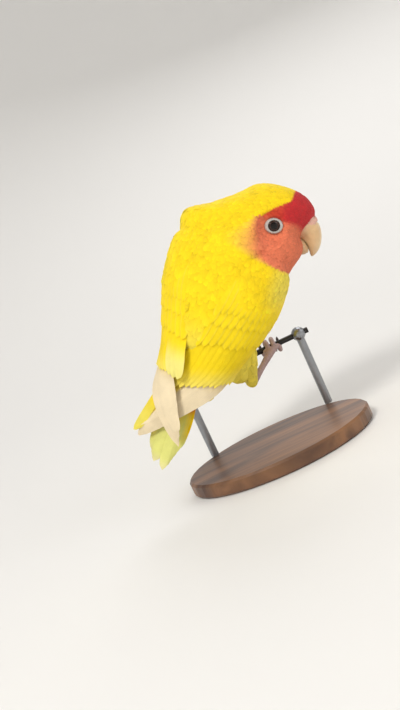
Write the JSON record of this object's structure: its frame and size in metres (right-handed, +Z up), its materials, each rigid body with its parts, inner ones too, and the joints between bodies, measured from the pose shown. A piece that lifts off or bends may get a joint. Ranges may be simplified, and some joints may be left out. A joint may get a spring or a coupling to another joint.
{
  "type": "peach-faced lovebird",
  "caption": "Yellow peach-faced lovebird clinging to a short wire perch, seen from behind with the head turned and the wing tips crossed, on a plain stand.",
  "frame": {"origin": "centre of the underside of the display stand's base", "axes": "+Z up, +X towards the side the bill points to, along the perch wire, -Y towards the viewer, who sees the bird's back"},
  "size_m": [0.1175, 0.064, 0.1227],
  "materials": {
    "plumage_body": "matte",
    "plumage_head": "matte",
    "plumage_wing": "matte",
    "plumage_tail": "matte",
    "bill_horn": "satin",
    "cere_skin": "satin",
    "eye_dark": "glossy",
    "eye_ring_skin": "matte",
    "leg_skin": "satin",
    "claw_horn": "satin",
    "wire_black": "satin",
    "rod_steel": "satin",
    "base_wood": "satin"
  },
  "bodies": {
    "root": {"bill_lower": "bill_horn", "bill_upper": "bill_horn", "cere": "cere_skin", "claw_left_1": "claw_horn", "claw_left_2": "claw_horn", "claw_left_3": "claw_horn", "claw_left_4": "claw_horn", "claw_right_1": "claw_horn", "claw_right_2": "claw_horn", "claw_right_3": "claw_horn", "claw_right_4": "claw_horn", "eye_left": "eye_dark", "eye_right": "eye_dark", "eye_ring_left": "eye_ring_skin", "eye_ring_right": "eye_ring_skin", "head": "plumage_head", "leg_left": "leg_skin", "leg_right": "leg_skin", "neck": "plumage_body", "perch_wire": "wire_black", "stand_base": "base_wood", "stand_rod_left": "rod_steel", "stand_rod_right": "rod_steel", "tail": "plumage_tail", "thigh_left": "plumage_body", "thigh_right": "plumage_body", "torso": "plumage_body", "wing_left": "plumage_wing", "wing_right": "plumage_wing"}
  },
  "joints": []
}
